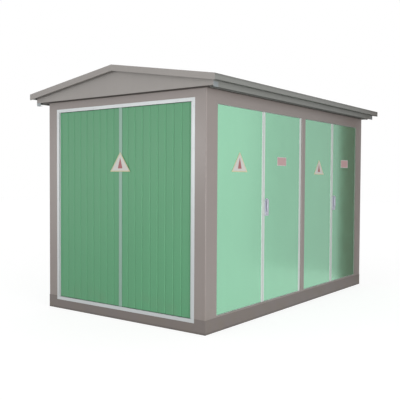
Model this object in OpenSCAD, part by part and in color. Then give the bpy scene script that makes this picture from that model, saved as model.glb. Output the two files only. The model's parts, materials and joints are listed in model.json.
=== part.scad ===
// Compact substation enclosure: a gable-roofed steel box on a channel base,
// with two pairs of hinged doors on one long side and ribbed end walls.
// X runs across the gable ends, Y along the door side, Z up from the ground.

/* [Body] */
// Width of the body across the gable ends
body_w = 2200; // [1900:10:2600]
// Length of the body along the door side
body_l = 3680; // [3300:10:4600]
// Height of the top of the wall frame above the ground
wall_top = 2306; // [2200:2:2600]
// Depth of the frame profiles, from the outer face inwards
frame_d = 50; // [46:1:80]
// Sheet thickness of the folded posts, mullions and rails
sheet_t = 4; // [2:0.5:6]
// Outer radius of the folds of the posts and mullions
fold_r = 8; // [6:0.5:12]
// Width of a corner post on the gable ends
post_end_w = 131; // [100:1:180]
// Width of a corner post on the long sides
post_side_w = 183; // [140:1:220]
// Width of the mullion between the two door openings
mullion_w = 84; // [70:1:120]
// Distance of the mullion's middle from the middle of the body
mullion_off = 108; // [0:1:200]

/* [Base] */
// Height of the base channels
base_h = 140; // [120:5:200]
// Thickness of the base channel's web and flanges
base_t = 8; // [5:1:12]
// Width of the base channel's flanges
base_flange = 60; // [52:1:90]
// Thickness of the floor plate
floor_t = 6; // [3:1:10]
// Number of bearers under the floor
bearer_n = 4; // [2:1:6]
// Width of a floor bearer
bearer_w = 60; // [40:5:100]
// Height of a floor bearer
bearer_h = 80; // [50:5:100]

/* [Doors] */
// Height of the sill bars that the doors close over
sill_h = 12; // [10:1:30]
// Height of the head rail over the door openings
door_head_h = 128; // [90:2:200]
// Thickness of a door leaf
leaf_t = 40; // [32:1:45]
// Thickness of the leaf's folded sheet
skin_t = 2.5; // [1.5:0.5:4]
// Distance of the leaf's face behind the face of the frame
leaf_recess = 10; // [6:1:16]
// Gap between a leaf and the sill or the head
leaf_gap_z = 6; // [5:0.5:10]
// Gap between a leaf and the post beside its hinges
hinge_gap = 8; // [8:0.5:12]
// Gap between the two leaves of a pair
meeting_gap = 6; // [5.5:0.5:10]
// Width of the aluminium stile on each upright edge of a leaf
stile_w = 27; // [24:1:40]
// Width of a hinge stile that is seen beside the skin
hinge_trim_w = 42; // [27:1:60]
// How far the meeting stiles stand out from the leaf's face
stile_proud = 2; // [0.5:0.5:4]
// Distance of a leaf's stiffeners from its top and bottom edge
stiff_in = 420; // [200:10:700]
// Depth of a stiffener behind the skin
stiff_d = 25; // [15:1:30]
// Height of a stiffener's lip
stiff_lip = 18; // [10:1:40]
// Diameter of the pivot pins
pivot_d = 12; // [8:1:14]
// Distance of the pivot axis from the leaf's hinge edge
pivot_in = 16; // [14:1:18]
// Distance of the pivot axis behind the leaf's face
pivot_back = 10; // [9.5:0.5:12]
// Radial clearance of the pivot pins and lock spindles
pin_clear = 0.05; // [0.02:0.01:0.1]
// Length of a pivot pin below the leaf
pivot_len = 16; // [14:1:17]
// Diameter of the collar that carries a leaf on its sill
collar_d = 20; // [15:1:22]
// Clearance between a collar and its sill
collar_clear = 0.3; // [0.1:0.1:0.5]

/* [Locks] */
// Height of the middle of the lock plates above the ground
lock_z = 1166; // [900:2:1400]
// Height of a lock plate
lock_h = 186; // [150:2:240]
// Width of a lock plate
lock_w = 80; // [50:1:90]
// Thickness of a lock plate
lock_t = 4; // [3:0.5:6]
// Distance of a lock plate from the meeting stile
lock_in = 4; // [2:1:20]
// Length of the lock lever from its spindle to its tip
lever_l = 118; // [80:1:135]
// Width of the lock lever
lever_w = 26; // [20:1:32]
// Thickness of the lock lever
lever_t = 11; // [8:1:16]
// Clear space between the lever and the lock plate
lever_gap = 5; // [5:0.5:9]
// Diameter of the lock spindle
spindle_d = 12; // [8:1:16]
// Diameter of the key cylinder below the lever
key_d = 18; // [12:1:22]
// Width of the key slot
key_slot = 3; // [2:0.5:4]
// Diameter of the lever's round head at the spindle
lever_head_d = 30; // [24:1:36]
// Clearance between the spindle's boss and the lever
boss_clear = 0.4; // [0.2:0.1:1]

/* [End walls] */
// How far the end wall's frame reaches down into the base channel
end_sink = 42; // [10:2:60]
// Height of the head rail over an end wall
end_head_h = 80; // [60:2:160]
// Face width of the aluminium frame round an end wall
end_frame_w = 35; // [25:1:50]
// Wall thickness of the aluminium frame's tube
end_frame_t = 3; // [2:0.5:5]
// Thickness of the ribbed wall panels
end_panel_t = 28; // [20:1:32]
// Distance of the ribbed panel behind the frame's face
end_panel_back = 17; // [10:1:18]
// Distance between the grooves of the ribbed panel
rib_pitch = 100; // [60:5:200]
// Width of a groove at the panel's face
rib_w = 22; // [12:1:40]
// Width of a groove at its bottom
rib_bottom_w = 12; // [6:1:30]
// Depth of a groove
rib_depth = 5; // [2:0.5:8]
// Width of the strip over the joint between the two panels
centre_w = 43; // [30:1:60]
// How far the strip stands out from the panels
centre_proud = 6; // [2:0.5:10]
// Width of the joint between the two panels
joint_gap = 8; // [4:1:16]

/* [Roof] */
// Overhang of the roof beyond the long sides
roof_over_side = 180; // [150:5:300]
// Overhang of the roof beyond the gable ends
roof_over_end = 125; // [100:5:250]
// Height of the roof's top edge at the eaves above the wall frame
eave_up = 100; // [80:2:200]
// Rise of the roof from the eaves to the ridge
roof_rise = 205; // [120:5:400]
// Height of the roof's folded edge along the eaves
fascia_h = 54; // [40:1:80]
// Height of the roof's folded edge over the gables
verge_h = 62; // [40:1:80]
// Thickness of the roof sheet
roof_t = 3; // [2:0.5:5]
// Width of the drip lip folded inwards under the roof's edge
lip_w = 16; // [8:1:30]
// Thickness of the gable panel's folded sheet
gable_sheet = 3; // [2:0.5:5]
// Overhang of the eave beams beyond the long sides
beam_over = 126; // [100:2:140]
// Width of an eave beam
beam_w = 62; // [40:2:80]
// How far the eave beams reach down below the top of the wall frame
beam_drop = 8; // [4:1:60]
// Overhang of the gable panels beyond the end walls
gable_over = 69; // [60:1:90]
// Thickness of a gable panel
gable_t = 40; // [20:1:50]
// Thickness of the ceiling sheet that closes the body under the roof
ceiling_t = 4; // [2:0.5:6]
// Clearance between the roof cover and the beams and gable panels under it
roof_seat = 0.2; // [0.1:0.05:0.3]

/* [Hidden] */

half_w = body_w / 2;
half_l = body_l / 2;
// How far a cutting tool reaches past the face that it cuts
cut = 1;
// Overlap that fuses two solids of one piece
fuse = 0.01;
// Number of sides of the round pieces
round_fn = 48;
// Number of facets of a fold
fold_n = 5;

// Colours, as the photograph shows them
taupe = [0.56, 0.53, 0.51];
base_grey = [0.48, 0.46, 0.45];
roof_grey = [0.58, 0.57, 0.56];
mint = [0.60, 0.84, 0.72];
green = [0.44, 0.65, 0.52];
silver = [0.80, 0.82, 0.82];
lilac = [0.70, 0.70, 0.78];

// Openings of the long sides, as [low y, high y]
opening_near = [-half_l + post_side_w, mullion_off - mullion_w / 2];
opening_far = [mullion_off + mullion_w / 2, half_l - post_side_w];
openings = [opening_near, opening_far];

// Door leaves: which opening each one closes, which way it lies from its pivot,
// and whether its hinge stile is seen or lies behind the skin
leaf_opening = [opening_near, opening_near, opening_far, opening_far];
leaf_side = [1, -1, 1, -1];
leaf_trim = [false, true, false, false];
door_top = wall_top - door_head_h;
sill_top = base_h + sill_h;
leaf_z0 = sill_top + leaf_gap_z;
leaf_z1 = door_top - leaf_gap_z;
leaf_face = half_w - leaf_recess;
pivot_x = leaf_face - pivot_back;
function leaf_w(i) =
    (leaf_opening[i][1] - leaf_opening[i][0] - 2 * hinge_gap - meeting_gap) / 2;
function hinge_w(i) = leaf_trim[i] ? hinge_trim_w : stile_w;
function leaf_hinge_y(i) =
    leaf_side[i] > 0 ? leaf_opening[i][0] + hinge_gap : leaf_opening[i][1] - hinge_gap;

// Lock: the spindle sits in the upper part of the plate
spindle_z = lock_z + lock_h / 2 - lever_w;
lock_mid = stile_w + lock_in + lock_w / 2;
lock_deep = leaf_t - 2 * skin_t;
boss_d = 2 * spindle_d;
boss_h = lever_gap - boss_clear;

// End walls
end_frame_half = half_w - post_end_w;
end_bottom = base_h - end_sink;
end_top = wall_top - end_head_h;
panel_z0 = end_bottom + end_frame_w;
panel_z1 = end_top - end_frame_w;
panel_half = end_frame_half - end_frame_w;
rib_count = floor((panel_half - rib_w) / rib_pitch);

// Frame and roof
rail_len_side = body_l - 2 * post_side_w;
roof_half = half_w + roof_over_side;
roof_half_l = half_l + roof_over_end;
beam_out = half_w + beam_over;
gable_out = half_l + gable_over;
ceiling_top = wall_top + ceiling_t;
eave_z = wall_top + eave_up;
beam_bottom = wall_top - beam_drop;
function roof_z(x) = eave_z + roof_rise * (1 - abs(x) / roof_half);
function under_z(x) = roof_z(x) - roof_t;
function seat_z(x) = under_z(x) - roof_seat;

// Points of a fold round [x, y], from an angle on by a quarter turn
function fold(x, y, r, from, turn) = [
    for (i = [0 : fold_n])
        [x + r * cos(from + turn * i / fold_n), y + r * sin(from + turn * i / fold_n)]
];

// A bar along X whose ends are mitred at 45 degrees, from its outer face inwards
module mitred_bar(len, depth, h) {
    linear_extrude(h)
        polygon([
            [-len / 2, 0],
            [len / 2, 0],
            [len / 2 - depth, depth],
            [-len / 2 + depth, depth]
        ]);
}

// A base channel along X with its web outside and its flanges inwards
module base_channel(len) {
    union() {
        mitred_bar(len, base_t, base_h);
        mitred_bar(len, base_flange, base_t);
        translate([0, 0, base_h - base_t])
            mitred_bar(len, base_flange, base_t);
    }
}

// Under an end wall the channel is cut down to let the wall's frame in
module end_channel() {
    difference() {
        base_channel(body_w);
        translate([-end_frame_half, -cut, end_bottom])
            cube([2 * end_frame_half, base_flange + 2 * cut, base_h]);
    }
}

module base_channel_right() {
    color(base_grey)
        translate([half_w, 0, 0])
            rotate([0, 0, 90])
                base_channel(body_l);
}

module base_channel_left() {
    color(base_grey)
        translate([-half_w, 0, 0])
            rotate([0, 0, -90])
                base_channel(body_l);
}

module base_channel_front() {
    color(base_grey)
        translate([0, -half_l, 0])
            end_channel();
}

module base_channel_rear() {
    color(base_grey)
        translate([0, half_l, 0])
            rotate([0, 0, 180])
                end_channel();
}

// Bearers cross under the floor and run in under the side channels' flanges
module floor_bearers() {
    inner = half_w - base_t;
    lip = half_w - base_flange;
    step = (body_l - 2 * base_flange) / (bearer_n + 1);
    color(base_grey)
        for (i = [1 : bearer_n])
            translate([0, -half_l + base_flange + i * step - bearer_w / 2, base_h - bearer_h])
                union() {
                    translate([-inner, 0, 0])
                        cube([2 * inner, bearer_w, bearer_h - base_t]);
                    translate([-lip, 0, 0])
                        cube([2 * lip, bearer_w, bearer_h]);
                }
}

module floor_plate() {
    color(base_grey)
        translate([-half_w + frame_d, -half_l + frame_d, base_h])
            cube([body_w - 2 * frame_d, body_l - 2 * frame_d, floor_t]);
}

// Corner post, folded from one sheet: two outer faces and a return on each edge.
// Drawn at the front right corner, with the corner itself at the origin.
module corner_post() {
    t = sheet_t;
    e = post_end_w;
    s = post_side_w;
    d = frame_d;
    r = fold_r;
    translate([0, 0, base_h])
        linear_extrude(wall_top - base_h)
            polygon([
                each fold(-r, r, r, -90, 90),
                [0, s], [-d, s], [-d, s - t], [-t, s - t],
                each fold(-r, r, r - t, 0, -90),
                [-e + t, t], [-e + t, d], [-e, d], [-e, 0]
            ]);
}

module corner_post_front_right() {
    color(taupe)
        translate([half_w, -half_l, 0])
            corner_post();
}

module corner_post_front_left() {
    color(taupe)
        translate([-half_w, -half_l, 0])
            mirror([1, 0, 0])
                corner_post();
}

module corner_post_rear_right() {
    color(taupe)
        translate([half_w, half_l, 0])
            mirror([0, 1, 0])
                corner_post();
}

module corner_post_rear_left() {
    color(taupe)
        translate([-half_w, half_l, 0])
            rotate([0, 0, 180])
                corner_post();
}

// A folded channel open to the back, along Z, with its face on the plane y = 0
module upright_channel(w, h) {
    t = sheet_t;
    r = fold_r;
    x = w / 2;
    linear_extrude(h)
        polygon([
            each fold(-x + r, r, r, 180, 90),
            each fold(x - r, r, r, 270, 90),
            [x, frame_d], [x - t, frame_d],
            each fold(x - r, r, r - t, 0, -90),
            each fold(-x + r, r, r - t, 270, -90),
            [-x + t, frame_d], [-x, frame_d]
        ]);
}

module mullion_right() {
    color(taupe)
        translate([half_w, mullion_off, base_h])
            rotate([0, 0, 90])
                upright_channel(mullion_w, door_top - base_h);
}

module mullion_left() {
    color(taupe)
        translate([-half_w, mullion_off, base_h])
            rotate([0, 0, -90])
                upright_channel(mullion_w, door_top - base_h);
}

// A folded channel along X, open to the back, with its face on the plane y = 0
module rail_channel(len, h) {
    difference() {
        translate([-len / 2, 0, 0])
            cube([len, frame_d, h]);
        translate([-len / 2 - cut, sheet_t, sheet_t])
            cube([len + 2 * cut, frame_d, h - 2 * sheet_t]);
    }
}

// Head rail of the door side, bored for the upper pivot pins
module top_rail_right() {
    color(taupe)
        difference() {
            translate([half_w, 0, door_top])
                rotate([0, 0, 90])
                    rail_channel(rail_len_side, door_head_h);
            for (i = [0 : 3])
                translate([pivot_x, leaf_hinge_y(i) + leaf_side[i] * pivot_in, door_top - cut])
                    cylinder(d = pivot_d + 2 * pin_clear, h = sheet_t + 2 * cut, $fn = round_fn);
        }
}

module top_rail_left() {
    color(taupe)
        translate([-half_w, 0, door_top])
            rotate([0, 0, -90])
                rail_channel(rail_len_side, door_head_h);
}

module top_rail_front() {
    color(taupe)
        translate([0, -half_l, end_top])
            rail_channel(2 * end_frame_half, end_head_h);
}

module top_rail_rear() {
    color(taupe)
        translate([0, half_l, end_top])
            rotate([0, 0, 180])
                rail_channel(2 * end_frame_half, end_head_h);
}

// Sill bars of the door side, bored for the lower pivot pins
module door_sills() {
    color(taupe)
        difference() {
            for (o = openings)
                translate([half_w - frame_d, o[0], base_h])
                    cube([frame_d, o[1] - o[0], sill_h]);
            for (i = [0 : 3])
                translate([pivot_x, leaf_hinge_y(i) + leaf_side[i] * pivot_in, base_h - cut])
                    cylinder(d = pivot_d + 2 * pin_clear, h = sill_h + 2 * cut, $fn = round_fn);
        }
}

module left_sills() {
    color(taupe)
        for (o = openings)
            translate([-half_w, o[0], base_h])
                cube([frame_d, o[1] - o[0], sill_h]);
}

// Hollow aluminium tube of the end frames: size of its box, and which way it runs
module frame_tube(size, along_z) {
    t = end_frame_t;
    long_cut = along_z ? [0, 0, 1] : [1, 0, 0];
    wall_cut = [t, t, t] - t * long_cut;
    difference() {
        cube(size);
        translate(wall_cut - long_cut)
            cube(size - 2 * wall_cut + 2 * long_cut);
    }
}

module end_frame_stiles() {
    size = [end_frame_w, frame_d, end_top - end_bottom];
    for (x = [-end_frame_half, end_frame_half - end_frame_w])
        translate([x, 0, end_bottom])
            frame_tube(size, true);
}

module end_frame_rails() {
    size = [2 * panel_half, frame_d, end_frame_w];
    for (z = [end_bottom, end_top - end_frame_w])
        translate([-panel_half, 0, z])
            frame_tube(size, false);
}

// Plan of the ribbed panel right of the centre line, grooves at whole pitches
function groove_points(x) = [
    [x - rib_w / 2, 0],
    [x - rib_bottom_w / 2, rib_depth],
    [x + rib_bottom_w / 2, rib_depth],
    [x + rib_w / 2, 0]
];
module ribbed_panel() {
    points = [
        [joint_gap / 2, end_panel_t],
        [joint_gap / 2, 0],
        for (i = [1 : rib_count]) each groove_points(i * rib_pitch),
        [panel_half, 0],
        [panel_half, end_panel_t]
    ];
    translate([0, end_panel_back, panel_z0])
        linear_extrude(panel_z1 - panel_z0)
            polygon(points);
}

module end_panels() {
    for (side = [0, 1])
        mirror([side, 0, 0])
            ribbed_panel();
}

// T-shaped strip whose stem fills the joint between the two panels
module centre_strip() {
    translate([0, end_panel_back, panel_z0])
        linear_extrude(panel_z1 - panel_z0)
            polygon([
                [-centre_w / 2, -centre_proud], [centre_w / 2, -centre_proud],
                [centre_w / 2, 0], [joint_gap / 2, 0],
                [joint_gap / 2, end_panel_t], [-joint_gap / 2, end_panel_t],
                [-joint_gap / 2, 0], [-centre_w / 2, 0]
            ]);
}

// Places a piece of the front end wall at the rear end
module at_rear() {
    translate([0, half_l, 0])
        rotate([0, 0, 180])
            children();
}

module at_front() {
    translate([0, -half_l, 0])
        children();
}

module front_frame_stiles() {
    color(silver) at_front() end_frame_stiles();
}

module front_frame_rails() {
    color(silver) at_front() end_frame_rails();
}

module front_panels() {
    color(green) at_front() end_panels();
}

module front_centre_strip() {
    color(silver) at_front() centre_strip();
}

module rear_frame_stiles() {
    color(silver) at_rear() end_frame_stiles();
}

module rear_frame_rails() {
    color(silver) at_rear() end_frame_rails();
}

module rear_panels() {
    color(green) at_rear() end_panels();
}

module rear_centre_strip() {
    color(silver) at_rear() centre_strip();
}

// A folded tray, open to the inside, with two angles across it behind its skin.
// The angles start at a distance y0 from its first edge.
module tray(w, h, t, y0) {
    x0 = t - skin_t - stiff_d;
    difference() {
        cube([t, w, h]);
        translate([-cut, skin_t, skin_t])
            cube([t - skin_t + cut, w - 2 * skin_t, h - 2 * skin_t]);
    }
    for (z = [stiff_in, h - stiff_in]) {
        translate([x0, y0, z])
            cube([stiff_d + fuse, w - y0 - skin_t + fuse, skin_t]);
        translate([x0, y0, z])
            cube([skin_t, w - y0 - skin_t + fuse, stiff_lip]);
    }
}

// Fixed panels of the long side without doors
module left_panels() {
    h = door_top - sill_top;
    color(mint)
        for (o = openings) {
            w = (o[1] - o[0] - 4 * stile_w - meeting_gap) / 2;
            for (y = [o[0] + stile_w, o[1] - stile_w - w])
                translate([-leaf_face, y, sill_top])
                    mirror([1, 0, 0])
                        translate([-leaf_t, 0, 0])
                            tray(w, h, leaf_t, skin_t - fuse);
        }
}

module left_panel_trims() {
    h = door_top - sill_top;
    d = leaf_t + stile_proud;
    mid = 2 * stile_w + meeting_gap;
    color(silver)
        for (o = openings)
            for (part = [[o[0], stile_w], [(o[0] + o[1] - mid) / 2, mid], [o[1] - stile_w, stile_w]])
                translate([-leaf_face - stile_proud, part[0], sill_top])
                    cube([d, part[1], h]);
}

module ceiling_panel() {
    half_x = beam_out - beam_w;
    color(roof_grey)
        translate([-half_x, -gable_out, wall_top])
            cube([2 * half_x, 2 * gable_out, ceiling_t]);
}

// Eave beam: a folded channel open downwards, its top under the slope of the roof
module eave_beam() {
    t = sheet_t;
    x0 = beam_out - beam_w;
    x1 = beam_out;
    len = 2 * (gable_out - gable_t);
    translate([0, len / 2, 0])
        rotate([90, 0, 0])
            linear_extrude(len)
                polygon([
                    [x0, beam_bottom], [x0, seat_z(x0)], [x1, seat_z(x1)], [x1, beam_bottom],
                    [x1 - t, beam_bottom], [x1 - t, seat_z(x1 - t) - t],
                    [x0 + t, seat_z(x0 + t) - t], [x0 + t, beam_bottom]
                ]);
}

module eave_beam_right() {
    color(roof_grey) eave_beam();
}

module eave_beam_left() {
    color(roof_grey) mirror([1, 0, 0]) eave_beam();
}

// Outline of the gable panel, drawn in by a distance from its edges
module gable_outline(inside) {
    x = beam_out - inside;
    polygon([
        [-x, ceiling_top + inside], [x, ceiling_top + inside],
        [x, seat_z(x) - inside], [0, seat_z(0) - inside], [-x, seat_z(x) - inside]
    ]);
}

// Gable panel, a folded box open to the back that stands on the ceiling sheet
module gable_panel() {
    translate([0, -gable_out + gable_t, 0])
        rotate([90, 0, 0])
            difference() {
                linear_extrude(gable_t)
                    gable_outline(0);
                translate([0, 0, -cut])
                    linear_extrude(gable_t - gable_sheet + cut)
                        gable_outline(gable_sheet);
            }
}

module gable_panel_front() {
    color(roof_grey) gable_panel();
}

module gable_panel_rear() {
    color(roof_grey) mirror([0, 1, 0]) gable_panel();
}

// Band of the gable's outline between two heights above the lower edge of the verge
module gable_band(low, high) {
    z = eave_z - verge_h;
    polygon([
        [-roof_half, z + low], [0, z + roof_rise + low], [roof_half, z + low],
        [roof_half, z + high], [0, z + roof_rise + high], [-roof_half, z + high]
    ]);
}

// Folded edge of the roof over a gable: a plate and the drip lip behind its lower edge
module roof_end() {
    translate([0, -roof_half_l + roof_t, 0])
        rotate([90, 0, 0])
            linear_extrude(roof_t)
                gable_band(0, verge_h);
    translate([0, -roof_half_l + lip_w, 0])
        rotate([90, 0, 0])
            linear_extrude(lip_w)
                gable_band(0, roof_t);
}

// Roof cover: one welded sheet with a folded edge and a drip lip all round
module roof_cover() {
    inner = roof_half - roof_t;
    lip = roof_half - lip_w;
    low = eave_z - fascia_h;
    color(roof_grey)
        union() {
            translate([0, roof_half_l, 0])
                rotate([90, 0, 0])
                    linear_extrude(2 * roof_half_l)
                        polygon([
                            [-roof_half, low], [-roof_half, eave_z], [0, roof_z(0)],
                            [roof_half, eave_z], [roof_half, low], [lip, low],
                            [lip, low + roof_t], [inner, low + roof_t],
                            [inner, under_z(inner)], [0, under_z(0)], [-inner, under_z(inner)],
                            [-inner, low + roof_t], [-lip, low + roof_t], [-lip, low]
                        ]);
            roof_end();
            mirror([0, 1, 0]) roof_end();
        }
}

// Frame of a leaf: origin on its hinge edge, +Y across the leaf, face on x = 0
module on_leaf(i) {
    translate([leaf_face, leaf_hinge_y(i), 0])
        if (leaf_side[i] > 0)
            children();
        else
            mirror([0, 1, 0]) children();
}

// Folded tray of a leaf. It covers the hinge stile, bored for the pivot pins,
// or starts beside it where the stile is seen.
module leaf_tray(i) {
    y0 = leaf_trim[i] ? hinge_w(i) : 0;
    h = leaf_z1 - leaf_z0;
    difference() {
        translate([-leaf_t, y0, leaf_z0])
            tray(leaf_w(i) - stile_w - y0, h, leaf_t, leaf_trim[i] ? skin_t - fuse : hinge_w(i));
        if (!leaf_trim[i])
            translate([-pivot_back, pivot_in, leaf_z0 - cut])
                cylinder(d = pivot_d + 2 * pin_clear, h = h + 2 * cut, $fn = round_fn);
    }
}

// Tray with the bore that the lock spindle passes
module leaf_tray_with_lock(i) {
    difference() {
        leaf_tray(i);
        translate([-skin_t - cut, leaf_w(i) - lock_mid, spindle_z])
            rotate([0, 90, 0])
                cylinder(d = spindle_d + 2 * pin_clear, h = skin_t + 2 * cut, $fn = round_fn);
    }
}

// Hinge stile with its pivot pins and the collar that carries the leaf
module hinge_stile(i) {
    h = leaf_z1 - leaf_z0;
    behind = leaf_trim[i] ? 0 : skin_t;
    collar_h = leaf_gap_z - collar_clear;
    union() {
        translate([-leaf_t, behind, leaf_z0 + behind])
            cube([leaf_t - behind, hinge_w(i) - behind, h - 2 * behind]);
        translate([-pivot_back, pivot_in, leaf_z0 - pivot_len])
            cylinder(d = pivot_d, h = h + 2 * pivot_len, $fn = round_fn);
        translate([-pivot_back, pivot_in, leaf_z0 - collar_h])
            cylinder(d = collar_d, h = collar_h, $fn = round_fn);
    }
}

// Aluminium stiles on both upright edges of a leaf
module leaf_stiles(i) {
    translate([-leaf_t, leaf_w(i) - stile_w, leaf_z0])
        cube([leaf_t + stile_proud, stile_w, leaf_z1 - leaf_z0]);
    hinge_stile(i);
}

module door_1() {
    color(mint) on_leaf(0) leaf_tray(0);
}

module door_1_stiles() {
    color(silver) on_leaf(0) leaf_stiles(0);
}

module door_2() {
    color(mint) on_leaf(1) leaf_tray_with_lock(1);
}

module door_2_stiles() {
    color(silver) on_leaf(1) leaf_stiles(1);
}

module door_3() {
    color(mint) on_leaf(2) leaf_tray(2);
}

module door_3_stiles() {
    color(silver) on_leaf(2) leaf_stiles(2);
}

module door_4() {
    color(mint) on_leaf(3) leaf_tray_with_lock(3);
}

module door_4_stiles() {
    color(silver) on_leaf(3) leaf_stiles(3);
}

// Place of a lock: origin on the leaf's face at the spindle, +X outwards
module at_lock(i) {
    on_leaf(i)
        translate([0, leaf_w(i) - lock_mid, spindle_z])
            children();
}

// Lock plate with a round top, the spindle's boss and the key cylinder
module lock_plate() {
    bottom = lock_z - lock_h / 2 - spindle_z;
    top = lock_z + lock_h / 2 - spindle_z;
    round_z = top - lock_w / 2;
    difference() {
        union() {
            translate([0, -lock_w / 2, bottom])
                cube([lock_t, lock_w, round_z - bottom]);
            translate([0, 0, round_z])
                rotate([0, 90, 0])
                    cylinder(d = lock_w, h = lock_t, $fn = round_fn);
            rotate([0, 90, 0])
                cylinder(d = boss_d, h = lock_t + boss_h, $fn = round_fn);
            translate([0, 0, bottom + key_d])
                rotate([0, 90, 0])
                    cylinder(d = key_d, h = lock_t + boss_h, $fn = round_fn);
        }
        translate([-cut, 0, 0])
            rotate([0, 90, 0])
                cylinder(d = spindle_d + 2 * pin_clear, h = lock_t + boss_h + 2 * cut, $fn = round_fn);
        translate([lock_t, -key_slot / 2, bottom + key_d / 2 + key_slot])
            cube([boss_h + cut, key_slot, key_d - 2 * key_slot]);
    }
}

// Lock lever hanging from its spindle, which reaches back through the plate and the skin
module lock_lever() {
    x0 = lock_t + lever_gap;
    union() {
        translate([x0, 0, 0])
            rotate([0, 90, 0])
                cylinder(d = lever_head_d, h = lever_t, $fn = round_fn);
        translate([x0, -lever_w / 2, -lever_l + lever_w / 2])
            cube([lever_t, lever_w, lever_l - lever_w / 2]);
        translate([x0, 0, -lever_l + lever_w / 2])
            rotate([0, 90, 0])
                cylinder(d = lever_w, h = lever_t, $fn = round_fn);
        translate([-lock_deep, 0, 0])
            rotate([0, 90, 0])
                cylinder(d = spindle_d, h = lock_deep + x0 + fuse, $fn = round_fn);
    }
}

module lock_plate_2() {
    color(lilac) at_lock(1) lock_plate();
}

module lock_lever_2() {
    color(lilac) at_lock(1) lock_lever();
}

module lock_plate_4() {
    color(lilac) at_lock(3) lock_plate();
}

module lock_lever_4() {
    color(lilac) at_lock(3) lock_lever();
}

base_channel_right();
base_channel_left();
base_channel_front();
base_channel_rear();
floor_bearers();
floor_plate();
corner_post_front_right();
corner_post_front_left();
corner_post_rear_right();
corner_post_rear_left();
mullion_right();
mullion_left();
top_rail_right();
top_rail_left();
top_rail_front();
top_rail_rear();
door_sills();
left_sills();
front_frame_stiles();
front_frame_rails();
front_panels();
front_centre_strip();
rear_frame_stiles();
rear_frame_rails();
rear_panels();
rear_centre_strip();
left_panels();
left_panel_trims();
ceiling_panel();
eave_beam_right();
eave_beam_left();
gable_panel_front();
gable_panel_rear();
roof_cover();
door_1();
door_1_stiles();
door_2();
door_2_stiles();
door_3();
door_3_stiles();
door_4();
door_4_stiles();
lock_plate_2();
lock_lever_2();
lock_plate_4();
lock_lever_4();
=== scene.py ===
"""Looks of the compact substation: finishes for every part, and its small fittings."""

import json
import math

import bpy
from mathutils import Matrix, Vector

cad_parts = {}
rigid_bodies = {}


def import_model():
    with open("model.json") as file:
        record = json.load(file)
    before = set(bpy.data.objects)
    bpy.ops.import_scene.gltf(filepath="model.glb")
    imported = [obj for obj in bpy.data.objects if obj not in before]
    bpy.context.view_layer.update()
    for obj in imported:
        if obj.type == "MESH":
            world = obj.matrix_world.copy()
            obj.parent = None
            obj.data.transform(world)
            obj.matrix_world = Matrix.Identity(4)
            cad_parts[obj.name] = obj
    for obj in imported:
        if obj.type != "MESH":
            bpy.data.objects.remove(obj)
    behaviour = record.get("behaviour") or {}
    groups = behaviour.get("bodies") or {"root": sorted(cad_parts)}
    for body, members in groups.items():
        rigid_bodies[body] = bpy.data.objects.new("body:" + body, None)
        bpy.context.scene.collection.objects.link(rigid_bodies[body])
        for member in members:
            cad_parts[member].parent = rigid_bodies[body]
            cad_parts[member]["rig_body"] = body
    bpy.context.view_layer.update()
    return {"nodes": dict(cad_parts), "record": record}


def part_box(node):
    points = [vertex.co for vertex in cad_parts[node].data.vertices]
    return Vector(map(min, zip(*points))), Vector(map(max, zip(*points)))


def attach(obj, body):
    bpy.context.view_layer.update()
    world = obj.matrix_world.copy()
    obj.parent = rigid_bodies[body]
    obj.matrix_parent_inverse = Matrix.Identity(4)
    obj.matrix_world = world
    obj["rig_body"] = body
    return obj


bl_info = {
    "name": "Compact substation finisher",
    "version": (1, 0, 0),
    "blender": (4, 5, 0),
    "location": "3D View > Sidebar > Substation",
    "description": "Paints a compact substation and adds its plates, seals, screws and rivets",
    "category": "Object",
}

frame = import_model()
NODES = frame["nodes"]

RIGHT = Vector((1, 0, 0))
LEFT = Vector((-1, 0, 0))
FRONT = Vector((0, -1, 0))
REAR = Vector((0, 1, 0))
UP = Vector((0, 0, 1))

# Features a metre of the noises that the finishes share
CLOUD_SCALE = 1.1
MOTTLE_SCALE = 7.0
RUN_STRETCH = (16, 16, 0.5)
DRAWN_STRETCH = (260, 260, 3)
SCUFF_SCALE = 38.0
PEEL_SCALE = 330.0

# Metres: height of the splashed dirt, rounding of the edges, relief of the orange peel
SPLASH_HEIGHT = 0.45
EDGE_RADIUS = 0.003
PEEL_DEPTH = 0.00006
TRIM_RADIUS = 0.0015
FINE_DEPTH = 0.00003

# Heights between which the dark foot of the base and the dark top of the eaves fade
FOOT = (0.008, 0.028)
EAVE_TOP = (2.376, 2.406)

# Distance of the doors' outer faces from the middle: only these faces are glossy
OUTER_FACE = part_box("door_1")[1].x


def srgb(red, green, blue):
    """Linear colour of three display values from 0 to 255."""
    def linear(value):
        value = value / 255
        return value / 12.92 if value <= 0.04045 else ((value + 0.055) / 1.055) ** 2.4

    return tuple(linear(v) for v in (red, green, blue))


def colour_value(name, description, display):
    """A colour that the user can change, given as display values."""
    return bpy.props.FloatVectorProperty(
        name=name, description=description, default=srgb(*display),
        subtype="COLOR", size=3, min=0, max=1,
    )


def length_value(name, description, metres):
    """A length that the user can change."""
    return bpy.props.FloatProperty(
        name=name, description=description, default=metres, min=0, unit="LENGTH", precision=4,
    )


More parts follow.
